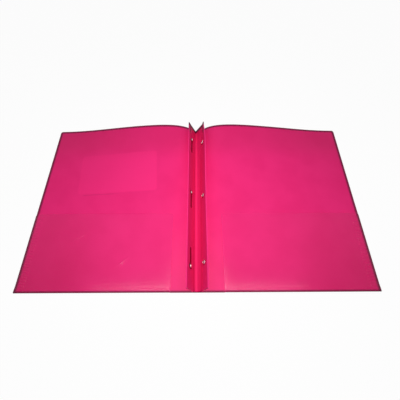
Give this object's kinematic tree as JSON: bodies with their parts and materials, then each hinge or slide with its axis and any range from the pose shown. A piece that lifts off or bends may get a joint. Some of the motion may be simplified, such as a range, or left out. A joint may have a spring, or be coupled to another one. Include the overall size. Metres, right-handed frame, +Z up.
{
  "type": "two pocket folder",
  "caption": "Open plastic folder with a low pocket inside each cover, and a pleated V spine whose bendable metal prongs bind punched pages.",
  "frame": {"origin": "on the table under the middle of the spine, centre of the open folder's outline", "axes": "+X from the front cover (left) to the back cover (right), +Y from the pockets to the far edge, +Z up from the table"},
  "size_m": [0.4954, 0.2922, 0.0237],
  "materials": {
    "pink_sheet": "satin, translucent hot pink polypropylene sheet with a fine embossed grain",
    "label_paper": "blank uncoated white label",
    "plated_steel": "bright nickel plate"
  },
  "bodies": {
    "spine": {"spine_strip": "pink_sheet"},
    "front_cover": {"front_cover": "pink_sheet", "front_pocket": "pink_sheet", "front_pocket_weld": "pink_sheet", "front_label": "label_paper"},
    "back_cover": {"back_cover": "pink_sheet", "back_pocket": "pink_sheet", "back_pocket_weld": "pink_sheet"},
    "front_pleat": {"front_pleat": "pink_sheet", "prong_tab_top": "plated_steel", "prong_tab_middle": "plated_steel", "prong_tab_bottom": "plated_steel", "rivet_top": "plated_steel", "rivet_middle": "plated_steel", "rivet_bottom": "plated_steel"},
    "back_pleat": {"back_pleat": "pink_sheet", "eyelet_top": "plated_steel", "eyelet_middle": "plated_steel", "eyelet_bottom": "plated_steel"},
    "prong_top": {"prong_top": "plated_steel"},
    "prong_middle": {"prong_middle": "plated_steel"},
    "prong_bottom": {"prong_bottom": "plated_steel"}
  },
  "joints": [
    {"name": "front_cover_fold", "type": "hinge", "parent": "spine", "child": "front_cover", "pos_m": [-0.00638, 0, 0.0003], "axis": [0, 1, 0], "range_deg": [-90, 90], "deforming": ["front_cover", "front_label"]},
    {"name": "back_cover_fold", "type": "hinge", "parent": "spine", "child": "back_cover", "pos_m": [0.00638, 0, 0.0003], "axis": [0, -1, 0], "range_deg": [-90, 90], "deforming": ["back_cover"]},
    {"name": "front_pleat_fold", "type": "hinge", "parent": "spine", "child": "front_pleat", "pos_m": [-0.0045, 0, 0.0003], "axis": [0, 1, 0], "range_deg": [-26.5, 26.5]},
    {"name": "back_pleat_fold", "type": "hinge", "parent": "spine", "child": "back_pleat", "pos_m": [0.0045, 0, 0.0003], "axis": [0, -1, 0], "range_deg": [-26.5, 26.5]},
    {"name": "prong_top_bend", "type": "hinge", "parent": "front_pleat", "child": "prong_top", "pos_m": [-0.00919, 0.10795, 0.01351], "axis": [0.3746, 0, -0.9272], "range_deg": [-90, 0]},
    {"name": "prong_middle_bend", "type": "hinge", "parent": "front_pleat", "child": "prong_middle", "pos_m": [-0.00919, 0, 0.01351], "axis": [0.3746, 0, -0.9272], "range_deg": [-90, 0]},
    {"name": "prong_bottom_bend", "type": "hinge", "parent": "front_pleat", "child": "prong_bottom", "pos_m": [-0.00919, -0.10795, 0.01351], "axis": [-0.3746, 0, 0.9272], "range_deg": [-90, 0]}
  ],
  "couplings": [
    {"joint": "front_pleat_fold", "follows": "front_cover_fold", "ratio": 0.28889},
    {"joint": "back_pleat_fold", "follows": "back_cover_fold", "ratio": 0.28889}
  ]
}
